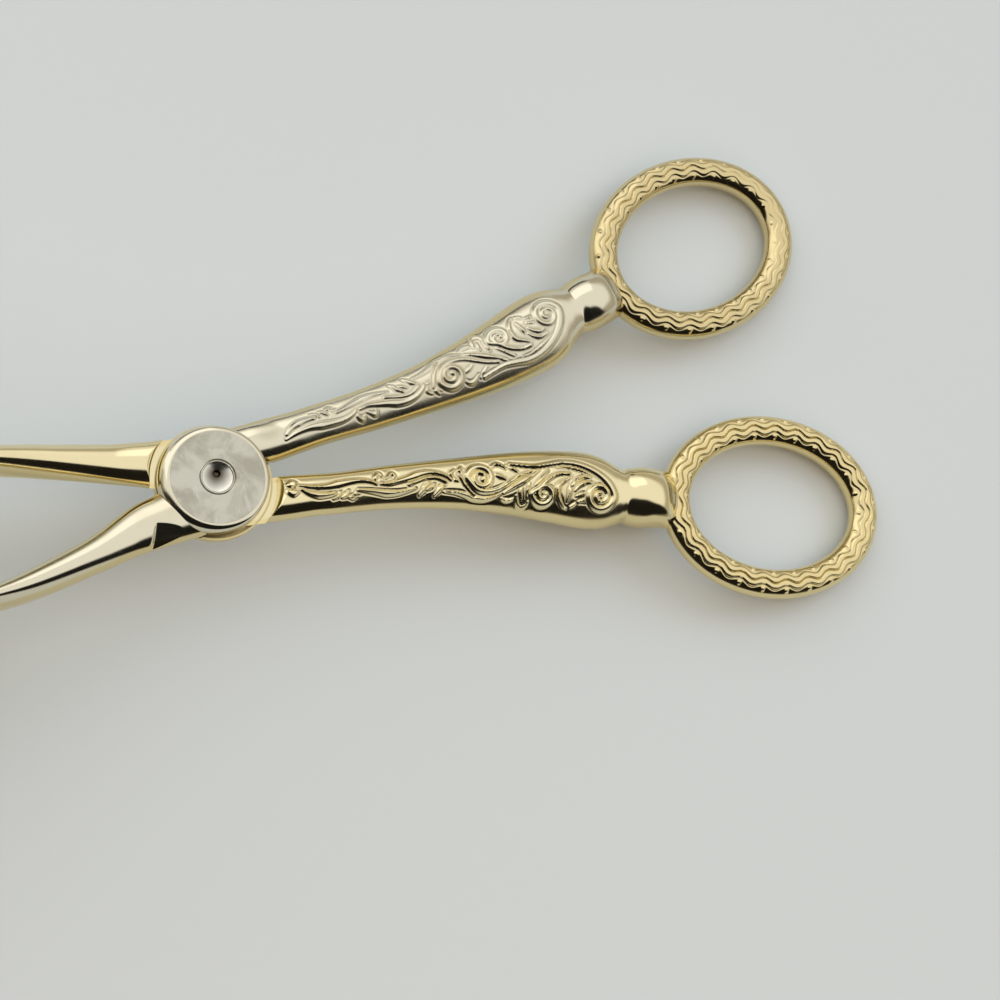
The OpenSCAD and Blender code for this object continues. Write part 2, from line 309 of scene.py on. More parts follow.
def plateMaterial(name, finish):
    g = goldPlate
    material, shader, place = newMaterial(name)
    worn = mark(place, "worn")
    hollow = mark(place, "hollow")
    satin = mark(place, "satin")
    cloud = noise(place, **g["cloud"])
    grain = noise(place, **g["grain"])
    wave = noise(place, **g["wave"])
    lines = noise(stretched(place, g["scratchStretch"]), **g["scratch"]).fit(*g["scratchFrom"])
    # painted shade: the sides take the darker gold and the flats the pale colour, the upper's flats also
    # worn pale
    wearAndShadeMix = (worn + g["wearAndShadeRagged"] * cloud - g["wearAndShadeRagged"] / 2).fit(*g["wearAndShadeMixFrom"])
    color = wearAndShadeMix.mixColor(finish["gold"], finish["flat"])
    color = (cloud.fit(*g["tarnishFrom"]) * g["tarnishShare"]).mixColor(color, g["tarnish"])
    # painted shade, partly dark patina: the hollow mark darkens the colour, broken up by grain
    deep = hollow * (1 - g["hollowGrain"] + g["hollowGrain"] * grain)
    color = deep.mixColor(color, finish["hollow"])
    rough = finish["rough"] + g["roughCloud"] * cloud.fit(*g["roughCloudFrom"])
    rough = rough + g["roughLines"] * lines + g["roughHollow"] * hollow + finish["satin"] * satin
    rough = rough + g["roughGrain"] * grain - g["roughGrain"]
    height = wave * g["waveHeight"] + grain * g["grainHeight"] - lines * g["lineDepth"]
    feedMetal(shader, color, rough, height, g["bump"])
    return material


# Ground nickel of the boss faces and the rivet: fine turning lines, stains and scuffs
groundNickel = {
    "bright": (0.64, 0.63, 0.55, 1),
    "stain": (0.46, 0.44, 0.365, 1),
    "scuff": (0.78, 0.765, 0.69, 1),
    # pit: painted shade, near black, for the bottom of the rivet's pit
    "pit": (0.10, 0.085, 0.06, 1),
    "polish": (0.86, 0.84, 0.76, 1),
    "rough": 0.34,
    "cloud": {"scale": 180, "detail": 4, "rough": 0.6, "distortion": 0.6},
    "grain": {"scale": 2600, "detail": 3, "rough": 0.6},
    "arcs": {"scale": 1, "detail": 3, "rough": 0.6},
    "arcStretch": (260, 2600, 260),
    "arcTurn": (0, 0, 0.5),
    "scuffs": {"scale": 1, "detail": 2, "rough": 0.5},
    "scuffStretch": (900, 240, 900),
    "scuffTurn": (0, 0, -0.6),
    "scuffFrom": (0.62, 0.75),
    "scuffShare": 0.6,
    "stainFrom": (0.40, 0.66),
    "roughCloud": 0.12,
    "roughArcs": 0.10,
    "roughScuffs": 0.10,
    "roughPolish": -0.2,
    "arcHeight": 0.5,
    "grainHeight": 0.15,
    "cloudHeight": 0.8,
    "scuffDepth": 0.4,
    "bump": {"Strength": 0.5, "Distance": 0.00006},
}


def nickelMaterial():
    g = groundNickel
    material, shader, place = newMaterial("groundNickel")
    cloud = noise(place, **g["cloud"])
    grain = noise(place, **g["grain"])
    arcs = noise(stretched(place, g["arcStretch"], g["arcTurn"]), **g["arcs"])
    scuffs = noise(stretched(place, g["scuffStretch"], g["scuffTurn"]), **g["scuffs"]).fit(*g["scuffFrom"])
    polish = mark(place, "polish")
    color = cloud.fit(*g["stainFrom"]).mixColor(g["bright"], g["stain"])
    color = (scuffs * g["scuffShare"]).mixColor(color, g["scuff"])
    color = polish.mixColor(color, g["polish"])
    # painted shade: the rivet's pit is coloured near black
    color = mark(place, "hollow").mixColor(color, g["pit"])
    rough = g["rough"] + g["roughCloud"] * cloud + g["roughArcs"] * (arcs - 0.5)
    rough = rough + g["roughScuffs"] * scuffs + g["roughPolish"] * polish
    height = arcs * g["arcHeight"] + grain * g["grainHeight"] + cloud * g["cloudHeight"]
    feedMetal(shader, color, rough, height - scuffs * g["scuffDepth"], g["bump"])
    return material


# Plain brass of the washer and the jaw rivets
plainBrass = {
    "bright": (0.78, 0.63, 0.33, 1),
    "brown": (0.46, 0.33, 0.15, 1),
    "brownFrom": (0.45, 0.8),
    "rough": 0.24,
    "cloud": {"scale": 400, "detail": 4, "rough": 0.6},
    "grain": {"scale": 3000, "detail": 2, "rough": 0.5},
    "roughCloud": 0.2,
    "roughCloudFrom": (0.4, 0.8),
    "roughGrain": 0.05,
    "bump": {"Strength": 0.3, "Distance": 0.00004},
}


def brassMaterial():
    b = plainBrass
    material, shader, place = newMaterial("plainBrass")
    cloud = noise(place, **b["cloud"])
    grain = noise(place, **b["grain"])
    color = cloud.fit(*b["brownFrom"]).mixColor(b["bright"], b["brown"])
    rough = b["rough"] + b["roughCloud"] * cloud.fit(*b["roughCloudFrom"]) + b["roughGrain"] * grain
    feedMetal(shader, color, rough, grain, b["bump"])
    return material


plates = {side: plateMaterial(side + "Plate", goldPlate[side]) for side in ("lower", "upper")}
nickel = nickelMaterial()
brass = brassMaterial()
print("materials made")


def makeCastPiece(bm, name, side, place, sharpAngle=pieceFinish["sharpAngle"]):
    makePiece(bm, side + name, side, side + "_arm", plates[side], place, sharpAngle)


# Scroll-and-leaf relief: each stroke is a curved ridge, x along the handle, v inwards, in mm
relief = {
    "ridge": 0.27,
    "rise": 0.5,  # width of a ridge's flank
    "groove": 0.08,
    "grooveAt": 0.06,
    "grooveWidth": 0.13,
    # paintedShade: how far the grooves take the darker, rougher hollow colour, painted shade with some dark
    # patina
    "paintedShade": 0.6,
    "reach": 0.45,  # a stroke covers the earlier ones as far as this from its edge
    "search": 1.5,  # a stroke is felt this far past its ends
    "curveSteps": 14,
    "curlSteps": 12,  # for each turn of a scroll
    "swell": 1.15,  # strokes are this much broader than drawn
    "share": {"upper": 0.85, "lower": 1.25},  # of the ridges' and grooves' full depth
    "flatRise": 2.5,  # the strokes are drawn for a face at this height
    "lean": {"upper": (0.28, -0.1), "lower": (0.2, 0.22)},  # drift for each mm that the face is higher
    "edge": (0.99, 0.86),  # fades out towards the sides
}

# Each stroke: half widths at its start, middle and end, then its points
leaves = [
    ((0.2, 0.4, 0.15), [(17.1, -2.3), (17.6, -1.9), (18.1, -1.3)]),
    ((0.2, 0.4, 0.15), [(18.4, -2.1), (19, -1.7), (19.3, -1.1)]),
    ((0.2, 0.4, 0.15), [(19.4, -2), (20, -1.95), (20.5, -1.8)]),
    ((0.2, 0.4, 0.15), [(20.3, -1.5), (20.8, -1.1), (21.3, -0.8)]),
    ((0.2, 0.35, 0.25), [(23.3, 0.3), (23.4, 1.2), (23.9, 1.85), (24.3, 1.4)]),
    ((0.2, 0.35, 0.25), [(24.9, 1), (25.4, 1.5), (25.9, 1.9), (26.3, 1.4), (26.2, 0.9)]),
    ((0.2, 0.45, 0.2), [(30.1, -1.15), (30.6, -0.5), (31.1, 0.3), (31.6, 0.95)]),
    ((0.2, 0.45, 0.2), [(32.4, -1.1), (32.9, -0.5), (33.5, 0.2), (34.1, 0.8)]),
    ((0.15, 0.3, 0.15), [(31.2, -0.4), (31.9, 0.1), (32.3, 0.5)]),
    ((0.2, 0.35, 0.2), [(36.1, 1.2), (35.4, 1.3), (34.9, 1.7), (34.9, 2.4), (35.4, 2.9)]),
    ((0.2, 0.35, 0.2), [(36.3, 2), (36.2, 2.8), (36.5, 3.4)]),
    ((0.2, 0.35, 0.2), [(37.2, 1.2), (37.3, 2.2), (37, 3)]),
    ((0.2, 0.35, 0.2), [(41, 3.2), (41.5, 3.9), (42.3, 4.1), (43.4, 3.5)]),
    ((0.2, 0.35, 0.2), [(41.5, 2.4), (42.6, 2), (43.3, 1.7)]),
    ((0.2, 0.35, 0.2), [(43.6, 4), (44.4, 3.5), (45.2, 2.9)]),
    ((0.2, 0.35, 0.2), [(42.4, -0.7), (43, -1.25), (44, -1.3), (44.9, -0.9)]),
    ((0.2, 0.4, 0.2), [(45, -0.6), (45.2, -1.6), (45.8, -2.25), (46.6, -1.9), (46.9, -1.2)]),
    ((0.2, 0.3, 0.2), [(45.7, 0.7), (45.6, -0.2), (45.8, -1)]),
    ((0.2, 0.3, 0.2), [(46.9, 1.2), (46.8, 0.2), (46.7, -0.8)]),
    ((0.2, 0.4, 0.2), [(53.6, 1.9), (53.4, 0.9), (53.2, 0), (52.9, -1.1)]),
    ((0.2, 0.3, 0.2), [(54.7, -1.1), (53.9, -1.7), (53, -2.2)]),
    ((0.2, 0.4, 0.2), [(53.7, 1.2), (54.4, 2), (55.4, 2.5), (56.6, 2.55)]),
    ((0.2, 0.4, 0.2), [(54.1, 0.4), (54.8, 1.2), (55.8, 1.7), (56.9, 1.7)]),
    ((0.2, 0.3, 0.2), [(54.3, -0.4), (55.2, -0.1), (56, 0.1)]),
    ((0.2, 0.4, 0.2), [(54.6, -1.2), (55.5, -1), (56.4, -1.1), (56.9, -1.6)]),
]

# Leaf at the lower handle's root
rootLeaf = [
    ((0.3, 0.7, 0.35), [(11.8, -0.6), (11, -0.4), (10.3, -0.6)]),
    ((0.3, 0.6, 0.35), [(11.8, -1.6), (11, -1.8), (10.3, -1.6)]),
]

stems = [
    ((0.2, 0.55, 0.25), [(11.9, -0.6), (14, -0.75), (16, -0.6), (18, -0.05), (20, 0.45), (21.5, 0.6),
                         (22.8, 0.4), (23.5, 0.1)]),
    ((0.25, 0.5, 0.3), [(12.3, -1.2), (13.5, -1.75), (15, -1.95), (16.5, -1.8), (17.2, -1.6)]),
    ((0.25, 0.5, 0.2), [(20.8, -0.9), (22, -0.95), (23.5, -1.05), (25, -1.15), (26.5, -1.05),
                        (28, -0.7), (29.3, -0.3)]),
    ((0.3, 0.3, 0.3), [(28.5, 0.3), (30, 1), (31.2, 1.4), (32.5, 1.5), (34, 1)]),
    ((0.25, 0.55, 0.25), [(24.2, 0.2), (25.5, 0.25), (27, 0.75), (28.5, 1.3), (30, 1.95), (31.5, 2.3),
                          (33, 2.2), (34.2, 1.75), (34.8, 1.3)]),
    ((0.2, 0.45, 0.3), [(33.8, -0.5), (35.5, -0.55), (37, -0.8), (38.5, -1.2), (40, -1.3),
                        (41.3, -1), (42.4, -0.45)]),
    ((0.2, 0.4, 0.2), [(38.4, -0.65), (37.4, 0.4), (36.5, 1.5), (36, 2.2)]),
    ((0.2, 0.5, 0.2), [(43, -0.3), (44.5, 0.6), (46, 1.6), (47.5, 2.6), (48.6, 3.4)]),
    ((0.2, 0.4, 0.2), [(47.5, -1.6), (47.6, -0.6), (48.1, 0.8), (49.2, 2.4), (50, 3.3)]),
    ((0.2, 0.45, 0.2), [(53.6, 2.6), (52.6, 1.9), (51.6, 1.2), (51.3, 0.2), (51.6, -0.9),
                        (52.3, -1.9), (52.9, -2.2)]),
    ((0.12, 0.3, 0.12), [(51.4, 4.05), (53, 4.1), (55, 3.75), (56.6, 3.2), (57.9, 2.6)]),
]

# Scrolls: a lead, then a curl that winds in about its centre
scrolls = [
    {"widths": (0.25, 0.5, 0.35), "centre": (39.45, 1.75), "start": 180, "turns": -1.6,
     "radii": (2.05, 0.45),
     "lead": [(47.3, 3.1), (45.5, 2.3), (44, 1.35), (42.6, 0.4), (41.2, -0.15), (39.8, -0.25), (38.6, 0.2)]},
    {"widths": (0.25, 0.5, 0.35), "centre": (49.2, -0.25), "start": 180, "turns": 1.5,
     "radii": (1.75, 0.45),
     "lead": [(53.3, 3), (52, 2.95), (50.8, 2.5), (49.6, 1.7), (48.6, 0.6)]},
    {"widths": (0.3, 0.55, 0.35), "centre": (58.05, -0.2), "start": 5, "turns": -1.75,
     "radii": (2.25, 0.4),
     "lead": [(44.2, 4.2), (46, 4.05), (48, 4), (50, 4.4), (52, 4.85), (54, 4.85), (56, 4.3), (58, 3.2),
              (59.5, 1.7)]},
]


def scrollPoints(scroll):
    points = list(scroll["lead"])
    steps = int(relief["curlSteps"] * abs(scroll["turns"]))
    first, last = scroll["radii"]
    for i in range(steps + 1):
        share = i / steps
        angle = math.radians(scroll["start"] + 360 * scroll["turns"] * share)
        radius = first + (last - first) * share
        points.append((scroll["centre"][0] + radius * math.cos(angle),
                       scroll["centre"][1] + radius * math.sin(angle)))
    return points


def strokeEdge(x, v, widths, points):
    line = smoothLine(points, relief["curveSteps"])
    step = np.r_[0, np.cumsum(np.hypot(*np.diff(line, axis=0).T))]
    half = relief["swell"] * np.interp(step / step[-1], (0, 0.5, 1), widths)
    edge = np.full(x.shape, 9.0)  # far from the stroke
    near = (x > line[:, 0].min() - relief["search"]) & (x < line[:, 0].max() + relief["search"])
    gap = np.hypot(x[near][:, None] - line[:, 0], v[near][:, None] - line[:, 1]) - half
    edge[near] = gap.min(axis=1)
    return edge


def reliefHeight(x, v, side):
    r = relief
    height = np.zeros(x.shape)
    strokes = leaves + stems + [(s["widths"], scrollPoints(s)) for s in scrolls]
    if side == "lower":
        strokes = rootLeaf + strokes
    for widths, points in strokes:
        edge = strokeEdge(x, v, widths, points)
        ridge = r["ridge"] * ease(0, -r["rise"], edge)
        groove = r["groove"] * np.exp(-((edge - r["grooveAt"]) / r["grooveWidth"]) ** 2)
        cover = ease(r["reach"], r["grooveAt"], edge)
        height = height * (1 - cover) + (ridge - groove) * cover
    return height * r["share"][side]


# Cast bar: sections stand square to X, each with a top, an underside and two rounded sides.
# Inside the shoulder only the half on the ground face's side is left, so the laps pass.
lap = {
    "half": 0.2,
    "inner": 5.0,
    "shoulder": 9.45,
    "round": 1.0,  # the shoulder's rounded edge, along the bar and in depth
    "roundDepth": 1.5,
    "straightAt": 14.0,
    "rows": 30,
    "roundRows": 13,
}
section = {
    "widthPower": 2.1,
    "thickPower": 2.0,
    "faceEdge": 0.93,
    "sideSteps": 7,
    "runSteps": 12,
    "wornFrom": (0.35, 0.9),
}


def faceRise(shape, s):
    return (1 - np.abs(s) ** shape["widthPower"]) ** (1 / shape["thickPower"])


def sectionColumns(shape, topSteps, underSteps):
    edge = shape["faceEdge"]
    top = np.linspace(-edge, edge, topSteps + 1)
    under = np.linspace(edge, -edge, underSteps + 1)
    turn = faceRise(shape, edge)
    down = np.linspace(turn, -turn, 2 * shape["sideSteps"] + 1)[1:-1]
    out = (1 - np.abs(down) ** shape["thickPower"]) ** (1 / shape["widthPower"])
    s = np.r_[top, out, under, -out, top[:1]]
    z = np.r_[faceRise(shape, top), down, -faceRise(shape, under), -down, turn]
    return s, z


def castBar(stations, shape, face, side):
    run = smoothLine(stations, section["runSteps"])
    s, zShare = sectionColumns(section, *shape["steps"][side])
    start = lap["shoulder"]
    rounded = start + lap["round"]
    r = np.r_[lap["inner"], np.linspace(lap["inner"], start, lap["rows"])]
    r = np.r_[r, np.linspace(start, rounded, lap["roundRows"])]
    r = np.r_[r, np.linspace(rounded, run[-1, 0], shape["rows"])[1:], run[-1, 0]][:, None]
    offset, width, thick = (np.interp(r, run[:, 0], run[:, i]) for i in (1, 2, 3))
    y = offset + s * width / 2
    z = zShare * thick / 2
    sag = start - np.sqrt(np.maximum(start**2 - y**2, 0.01))
    x = r - sag * (1 - ease(start, lap["straightAt"], r))
    lift, hollow, satin = face(x, y, s, zShare, thick / 2, side)
    onFace = ease(*shape["faceStart"], np.abs(zShare))
    z = z + np.sign(zShare) * lift * onFace
    toRound = np.clip((rounded - r) / lap["round"], 0, 1)
    deepest = thick / 2 - lap["roundDepth"] * (1 - np.sqrt(1 - toRound**2))
    z = np.where(toRound > 0, np.maximum(z, -deepest), z)
    z = np.where(np.arange(len(r))[:, None] <= lap["rows"], np.maximum(z, lap["half"]), z)
    for end in (0, -1):
        x[end] = x[end].mean()
        y[end] = offset[end]
        z[end] = z[end].mean()
    # painted shade: the section's sides are marked for the darker gold, its flats for the pale colour
    worn = ease(*section["wornFrom"], np.abs(zShare)) + 0 * x
    return wrapGrid(np.stack([x, y, z], axis=-1), worn=worn, hollow=hollow * onFace, satin=satin * onFace)


# Handle and bead, with the swelling behind the boss and the relief
handle = {
    "stations": [  # distance from the pivot, offset outwards, width, thickness
        (1.7, 3.8, 7.1, 5), (9.5, 2.25, 7, 5), (13.9, 1.4, 6.4, 5), (18.3, 0.8, 6.3, 5),
        (26.2, -0.35, 6.7, 5.2), (35.3, -1.25, 7.7, 5.8), (43.6, -1.65, 9.4, 7), (50, -1.55, 10.9, 8.2),
        (55.6, -1.2, 11.8, 8.8), (58.8, -0.9, 11.2, 8.7), (61, -0.6, 9.6, 8.2),
    ],
    "bead": [  # distance from the neck
        (-0.7, -0.5, 8.6, 7.9), (0, -0.5, 8.3, 7.8), (1.2, -0.45, 8.9, 8.6), (2.8, -0.45, 9.3, 9.2),
        (4.4, -0.45, 9.2, 8.9), (5.8, -0.4, 9.1, 8), (6.9, -0.3, 9.1, 6.4), (7.9, -0.2, 8.9, 4.7),
        (8.8, -0.1, 8.2, 3.7), (9.4, 0, 7.4, 3.4),
    ],
    "neckAt": {"upper": 63.6, "lower": 62.8},
    "beadShare": {"upper": 0.94, "lower": 1.0},
    "shift": -0.1,
    "shiftEnds": (18.0, 30.0),
    "rows": 560,
    "steps": {"upper": (84, 40), "lower": (40, 84)},
    "faceStart": (0.35, 0.65),  # the relief ends where the section turns down
    "swellAt": (9.9, 2.9),
    "swellHalf": (2.7, 1.8),
    "swellTurn": -25,
    "swellFade": (1, 0.2),
    "swellRise": 0.12,
    # painted shade: how far the swell behind the boss takes the darker hollow colour
    "swellShade": 0.3,
    "satinEnds": (12.5, 15.0, 60.0, 62.0),
    "satinEdge": (0.88, 0.66),
}


def handleFace(x, y, s, zShare, half, side):
    h = handle
    drift = relief["lean"][side]
    climb = np.maximum(half - relief["flatRise"], 0)
    inside = ease(*relief["edge"], np.abs(s))
    carved = reliefHeight(x + drift[0] * climb, drift[1] * climb - y, side) * inside
    turn = math.radians(h["swellTurn"])
    dx = x - h["swellAt"][0]
    dy = y - h["swellAt"][1]
    along = (dx * math.cos(turn) + dy * math.sin(turn)) / h["swellHalf"][0]
    across = (dy * math.cos(turn) - dx * math.sin(turn)) / h["swellHalf"][1]
    swell = ease(*h["swellFade"], np.hypot(along, across)) * (zShare > 0)
    start, full, fade, end = h["satinEnds"]
    satin = ease(start, full, x) * ease(end, fade, x) * ease(*h["satinEdge"], np.abs(s))
    # painted shade: the grooves and the swell behind the boss take the darker, rougher hollow colour
    paintedShade = relief["paintedShade"] * np.clip(-carved / relief["groove"], 0, 1) + h["swellShade"] * swell
    return carved + h["swellRise"] * swell, paintedShade, np.maximum(satin, swell)


def handleStations(side):
    h = handle
    share = h["beadShare"][side]
    run = list(h["stations"])
    for x, y, width, thick in h["bead"]:
        run.append((h["neckAt"][side] + x, y, share * width, share * thick))
    return [(x, y + h["shift"] * float(ease(*h["shiftEnds"], x)), w, z) for x, y, w, z in run]


for side in sides:
    bm = castBar(handleStations(side), handle, handleFace, side)
    makeCastPiece(bm, "Handle", side, armPlace[side])
print("handles made")


# Finger ring: a wavy double ribbon between rows of dots
ring = {
    "centre": {"upper": 87.85, "lower": 87.45},
    "halfLength": 15.95,
    "halfWidth": 12.4,
    "bar": 4.6,
    "thick": 4.0,
    "widthPower": 2.2,
    "thickPower": 2.1,
    "faceEdge": 0.9,
    "sideSteps": 8,
    "columns": (48, 48),
    "steps": 760,
    "pathSteps": 2000,
    "waves": 24,
    "swing": 0.34,
    "ribbonAt": 0.52,  # each ribbon's middle, from the middle of the band
    "ribbonHalf": 0.46,
    "flank": 0.16,
    "rise": 0.13,
    "line": {"upper": 0.07, "lower": 0.11},  # depth of the lines beside the ribbons
    # painted shade, partly dark patina: how far the lines beside the ribbons take the hollow colour
    "lineShade": {"upper": 0.3, "lower": 0.7},
    "fade": {"upper": 0.65, "lower": 0.25},  # how far the band is rubbed down at the far end
    "fadeEnds": (0.3, 0.9),
    "faceStart": (0.3, 0.6),
    "lineHalf": 0.11,
    "dotAt": 1.42,
    "dotHalf": 0.42,
    "dotTop": 0.05,
    "dotStep": 0.25,  # shares of a wave that the dots stand beside its middle
    "dotRise": 0.2,
    "worn": 0.15,
}


def ringBand(along, q, waveRun):
    g = ring
    wave = g["swing"] * np.sin(2 * math.pi * along)
    lift = np.zeros(np.broadcast(along, q).shape)
    lines = np.zeros(lift.shape)
    for sign in (-1, 1):
        near = np.abs(q - wave - sign * g["ribbonAt"])
        lift = np.maximum(lift, g["rise"] * ease(g["ribbonHalf"], g["ribbonHalf"] - g["flank"], near))
        step = along + g["dotStep"] * sign
        dot = np.hypot((step - np.round(step)) * waveRun, q - sign * g["dotAt"])
        lift = np.maximum(lift, g["dotRise"] * ease(g["dotHalf"], g["dotTop"], dot))
    for at in (-2, 0, 2):
        gap = (q - wave - at * g["ribbonAt"]) / g["lineHalf"]
        lines = np.maximum(lines, np.exp(-(gap**2)))
    return lift, lines


def ringGrid(side):
    g = ring
    fine = np.linspace(0, 2 * math.pi, g["pathSteps"] + 1)
    path = np.stack([g["halfLength"] * np.cos(fine), g["halfWidth"] * np.sin(fine)], axis=-1)
    run = np.r_[0, np.cumsum(np.hypot(*np.diff(path, axis=0).T))]
    share = np.linspace(0, 1, g["steps"] + 1)[:, None]
    a = np.interp(share * run[-1], run, fine)
    out = np.stack([np.cos(a) / g["halfLength"], np.sin(a) / g["halfWidth"]])
    out = out / np.hypot(out[0], out[1])
    across, rise = sectionColumns(g, *g["columns"])
    q = across * g["bar"] / 2
    lift, lines = ringBand(g["waves"] * share, q, run[-1] / g["waves"])
    rubbed = g["fade"][side] * ease(*g["fadeEnds"], np.cos(a))
    onFace = ease(*g["faceStart"], np.abs(rise)) * (1 - rubbed)
    x = g["centre"][side] + g["halfLength"] * np.cos(a) + out[0] * q
    y = g["halfWidth"] * np.sin(a) + out[1] * q
    z = rise * g["thick"] / 2 + np.sign(rise) * (lift - g["line"][side] * lines) * onFace
    worn = g["worn"] + 0 * x
    return wrapGrid(np.stack([x, y, z], axis=-1), worn=worn, hollow=g["lineShade"][side] * lines * onFace)


for side in sides:
    makeCastPiece(ringGrid(side), "FingerRing", side, armPlace[side])
print("finger rings made")


# Boss: a plated disc with a rounded rim, ground flat on top and bored for the rivet.
# The lower casting's lap reaches past the upper boss as a narrow ledge.
boss = {
    "radius": {"upper": 7.9, "lower": 7.75},
    "height": 3.0,
    "rim": 1.05,
    "rimSteps": 10,
    "drift": (-0.45, 0.22),  # the upper wall's foot stands this far off the flat's middle
    "driftFrom": (4, 6.5),
    "ledge": {"upper": 7.9, "lower": 8.6},
    "ledgeHeight": 1.4,
    "ledgeStep": 0.1,
    # painted shade on the ledge below the boss wall
    "ledgeShade": 0.4,
    "groove": (7.8, 8.3),
    "grooveDepth": 0.45,
    "worn": {"upper": 1.0, "lower": 0.2},
    "bore": {"upper": 2.2, "lower": 2.25},
    "recess": 2.68,
    "recessDepth": 0.8,
    "faceRadius": 6.9,
    "faceThick": 0.08,
    "faceEdge": 0.05,
    "lapOver": 0.02,  # the disc reaches this far below the bars' laps
    "near": 0.01,
    "steps": 128,
}


def bossDisc(side):
    b = boss
    low = lap["half"] - b["lapOver"]
    bore = b["bore"][side]
    top = b["height"] - b["faceThick"] / 2
    points = [(bore, low)]
    if side == "lower":
        inner, outer = b["groove"]
        deep = low + b["grooveDepth"]
        points += [(inner, low), (inner, deep), (outer, deep), (outer, low)]
    points += [(b["ledge"][side], low), (b["ledge"][side], b["ledgeHeight"])]
    points += [(b["radius"][side], b["ledgeHeight"] + b["ledgeStep"])]
    points += arcPoints((b["radius"][side] - b["rim"], top - b["rim"]), b["rim"], 0, 90, b["rimSteps"])
    points += [(b["recess"], top), (b["recess"], b["height"] - b["recessDepth"])]
    points += [(bore, b["height"] - b["recessDepth"]), (bore, low)]
    bm = markAll(turnUpright(points, b["steps"]), "worn", b["worn"][side])
    hollow = bm.verts.layers.float.new("hollow")
    for vert in bm.verts:
        reach = vert.co.to_2d().length
        # painted shade: the groove's floor fully and the ledge partly take the darker hollow colour
        if abs(vert.co.z - low - b["grooveDepth"]) < b["near"]:
            vert[hollow] = 1.0
        elif vert.co.z < low + b["near"] and reach > b["faceRadius"]:
            vert[hollow] = b["ledgeShade"]
        if side == "upper":
            foot = float(ease(top, b["ledgeHeight"], vert.co.z) * ease(*b["driftFrom"], reach))
            vert.co.x += b["drift"][0] * foot
            vert.co.y += b["drift"][1] * foot
    return bm


def bossFace():
    b = boss
    low = b["height"] - b["faceThick"]
    points = [(b["recess"], low), (b["faceRadius"], low), (b["faceRadius"] - b["faceEdge"], b["height"])]
    points += [(b["recess"], b["height"]), (b["recess"], low)]
    return turnUpright(points, b["steps"])


for side in sides:
    makeCastPiece(bossDisc(side), "Boss", side, armPlace[side])
    makePiece(bossFace(), side + "BossFace", side, side + "_arm", nickel, armPlace[side])
print("bosses made")


# Rivet: spread ends flush with both ground faces, a pitted dimple in the upper one
rivet = {
    "radius": 2.2,
    "end": 2.55,
    "endDepth": 0.8,
    "edge": 0.1,
    "dimpleRadius": 2.3,
    "dimpleStep": 0.25,
    "dimpleDepth": 0.8,
    "dimpleWall": 0.1,
    "lip": 0.02,
    "pit": 0.55,
    "pitDepth": 0.7,
    "pitCurve": (0.6, 0.8),
    "pitShift": (0.4, 0.8),
    "clear": 0.02,
    "near": 0.01,
    "steps": 96,
    "sharpAngle": 25,
}


def rivetTurned():
    v = rivet
    top = boss["height"]
    shaft = v["radius"] - v["clear"]
    under = top - v["endDepth"] + v["clear"]
    deep = top - v["dimpleDepth"]
    pitWide, pitDeep = v["pitCurve"]
    points = [(0, deep - v["pitDepth"]), (pitWide * v["pit"], deep - pitDeep * v["pitDepth"])]
    points += [(v["pit"], deep), (v["dimpleRadius"] - v["dimpleWall"], top - v["dimpleStep"])]
    points += [(v["dimpleRadius"], top - v["lip"]), (v["end"] - v["edge"], top)]
    points += [(v["end"], top - v["edge"]), (v["end"], under), (shaft, under), (shaft, -under)]
    points += [(v["end"], -under), (v["end"], v["edge"] - top), (v["end"] - v["edge"], -top), (0, -top)]
    bm = markAll(turnUpright(points, v["steps"]), "hollow", 0.0)
    hollow = bm.verts.layers.float["hollow"]
    polish = bm.verts.layers.float.new("polish")
    for vert in bm.verts:
        reach = vert.co.to_2d().length
        # painted shade: the pit is marked for the near-black colour; the dimple around it is polished
        if vert.co.z > 0 and reach < v["pit"] + v["near"]:
            vert[hollow] = 1.0
        elif vert.co.z > 0 and reach < v["dimpleRadius"]:
            vert[polish] = 1.0
        if vert.co.z > 0 and reach < v["dimpleRadius"]:
            share = 1 - reach / v["dimpleRadius"]
            vert.co.x += v["pitShift"][0] * share
            vert.co.y += v["pitShift"][1] * share
    return bm


makePiece(rivetTurned(), "pivotRivet", "upper", "pivot_rivet", nickel, armPlace["upper"],
          rivet["sharpAngle"])
washer = frame["nodes"]["pivot_washer"].data
washer.materials.clear()
washer.materials.append(brass)
print("rivet and washer made")


# Shank and tang: the bar from the boss turns into an upright plate that carries the jaw
shank = {
    "roots": {  # distance from the pivot towards the tip, offset outwards, width, height
        "upper": [(0, 3.3, 8.8, 5), (5, 3.15, 8.3, 5), (9.5, 3.45, 7.5, 5), (13, 3.85, 6.9, 5)],
        "lower": [(0, 3.3, 8.8, 5), (5, 3.3, 8, 5), (9.5, 3.8, 6.7, 5), (13, 4.35, 6, 5)],
    },
    "stations": [(20, 5.6, 5.2, 6), (29, 7.1, 4.3, 7.7), (36, 7.7, 3.2, 10), (42, 8, 2.3, 12.1)],
    "rows": 220,
    "steps": {"upper": (48, 32), "lower": (32, 48)},
    "faceStart": (0.05, 0.15),  # the facet runs down into the side
    "facetFrom": (7.0, 4.8),  # the facet beside the boss starts on this line and falls outwards
    "facetLean": -0.28,
    "facetSlope": 0.52,
    "facetEnd": 10.2,
    "facetEndLean": 0.4,
    "facetEndRun": 0.45,
}
tang = {
    "start": 40.0,
    "length": 14.0,
    "width": 13.0,
    "inner": 6.7,
    "thick": 2.6,
    "endSteps": 32,
    "edge": 0.5,
    "edgeSteps": 4,
    "near": 0.01,
}


